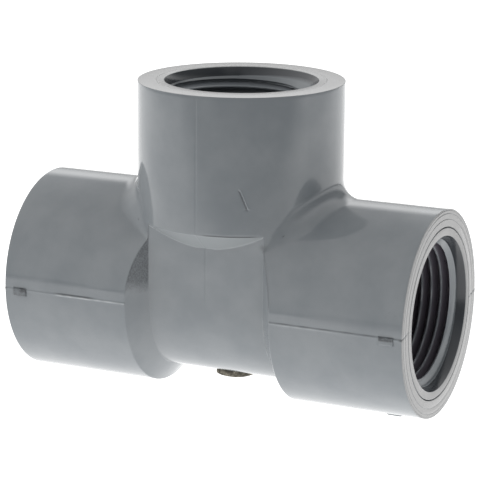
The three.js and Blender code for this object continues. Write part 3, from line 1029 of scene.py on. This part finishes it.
TABLE_BRIGHT = 0.12  # metres towards the camera out to which the light table is brightest
TABLE_DARK = 0.22  # and from which it is dimmest
TABLE_WIDE = 0.35  # metres to either side out to which it is brightest
TABLE_END = 0.55
TABLE_GLOW = 1.45
TABLE_EDGE_GLOW = 0.3
TABLE_END_SHARE = 0.3

ROOM_BY_CAMERA = 0.20  # brightness of the room behind the camera
ROOM_BEHIND = 0.65  # behind the object
ROOM_SIDES = 1.1  # how much brighter it is to the left and right
ROOM_RIGHT = 1.5  # and how many times that on the right
ROOM_ABOVE = 0.34  # how much brighter it is overhead
BACKDROP_GLOW = 1.3

# Directions in the room, by how far they point up, aside or towards the camera, from -1
# to 1. Each pair is where something starts to change and where that ends.
WALLS_RISE = (0, 0.35)  # the walls grow brighter upwards
WALLS_FOOT_SHARE = 0.4
RIGHT_RISE = (0, 0.5)  # the right wall towards its full brightness
ABOVE_RISE = (0.3, 0.75)
WINDOW_ASIDE = (0.3, 0.5)  # a dark window stands on the right
WINDOW_FOOT = (0.1, 0.25)
WINDOW_TOP = (0.5, 0.7)
WINDOW_SHARE = 0.12  # of the room's light that it leaves
BACKDROP_BEHIND = (-0.2, -0.7)  # the backdrop stands behind the object
BACKDROP_EDGES = (0.15, 0.45)
BACKDROP_FOOT = (math.sin(math.radians(6)), math.sin(math.radians(21)))
BACKDROP_TOP = (math.sin(math.radians(25)), math.sin(math.radians(34)))


def make_floor():
    """The floor that the tee stands on, four metres across."""
    half = 2.0
    mesh = bpy.data.meshes.new("floor")
    corners = [(-half, -half, 0), (half, -half, 0), (half, half, 0), (-half, half, 0)]
    mesh.from_pydata(corners, [], [(0, 1, 2, 3)])
    floor = bpy.data.objects.new("floor", mesh)
    floor.location.z = cad_bounds[0].z
    bpy.context.scene.collection.objects.link(floor)
    floor.data.materials.append(floor_material())


def add_camera():
    """The camera stands to the right of the front and looks slightly down on the tee."""
    away = Vector((
        math.sin(CAMERA_AZIMUTH) * math.cos(CAMERA_ELEVATION),
        -math.cos(CAMERA_AZIMUTH) * math.cos(CAMERA_ELEVATION),
        math.sin(CAMERA_ELEVATION),
    ))
    data = bpy.data.cameras.new("camera")
    data.angle = VIEW_ANGLE
    camera = bpy.data.objects.new("camera", data)
    facing = away.to_track_quat("Z", "Y").to_matrix().to_4x4()
    place = Matrix.Translation((LOOK_AT + away * CAMERA_DISTANCE) * MM)
    camera.matrix_world = place @ facing @ Matrix.Rotation(CAMERA_ROLL, 4, "Z")
    bpy.context.scene.collection.objects.link(camera)
    bpy.context.scene.camera = camera


def room_glow(nodes, towards, aside, up):
    """A white room, dim by the camera and bright at the sides, with a dark window."""
    walls = nodes.times(aside, aside, ROOM_SIDES)
    walls = nodes.times(walls, nodes.fit(up, *WALLS_RISE, WALLS_FOOT_SHARE, 1))
    walls = nodes.times(walls, nodes.fit(aside, *RIGHT_RISE, 1, ROOM_RIGHT))
    room = nodes.fit(towards, 1, -1, ROOM_BY_CAMERA, ROOM_BEHIND)
    room = nodes.math("ADD", nodes.math("ADD", room, walls), nodes.fit(up, *ABOVE_RISE, 0, ROOM_ABOVE))
    in_window = nodes.times(
        nodes.fit(aside, *WINDOW_ASIDE, 0, 1),
        nodes.fit(up, *WINDOW_FOOT, 0, 1),
        nodes.fit(up, *WINDOW_TOP, 1, 0),
    )
    return nodes.times(room, nodes.fit(in_window, 0, 1, 1, WINDOW_SHARE))


def backdrop_glow(nodes, towards, aside, up):
    """A bright backdrop low behind the object, fading at its edges."""
    return nodes.times(
        nodes.fit(towards, *BACKDROP_BEHIND, 0, BACKDROP_GLOW),
        nodes.fit(nodes.math("ABSOLUTE", aside, 0), *BACKDROP_EDGES, 1, 0),
        nodes.fit(up, *BACKDROP_FOOT, 0, 1),
        nodes.fit(up, *BACKDROP_TOP, 1, 0),
    )


def light_scene():
    """The room and its backdrop light the object, and the camera sees plain white."""
    world = bpy.data.worlds.new("studio")
    nodes = Nodes(world, "Generated")
    ways = [nodes.along(way) for way in (TOWARDS_CAMERA, SIDEWAYS, (0, 0, 1))]
    glow = nodes.math("ADD", room_glow(nodes, *ways), backdrop_glow(nodes, *ways))
    seen = nodes.seen_by_camera()
    shown = nodes.math("ADD", nodes.times(glow, nodes.fit(seen, 0, 1, 1, 0)), seen)
    background = nodes.tree.nodes["Background"]
    background.inputs["Color"].default_value = (1, 1, 1, 1)
    nodes.link(shown, background.inputs["Strength"])
    bpy.context.scene.world = world
    bpy.context.scene.view_settings.view_transform = "Standard"


build_object()
make_floor()
light_scene()
add_camera()
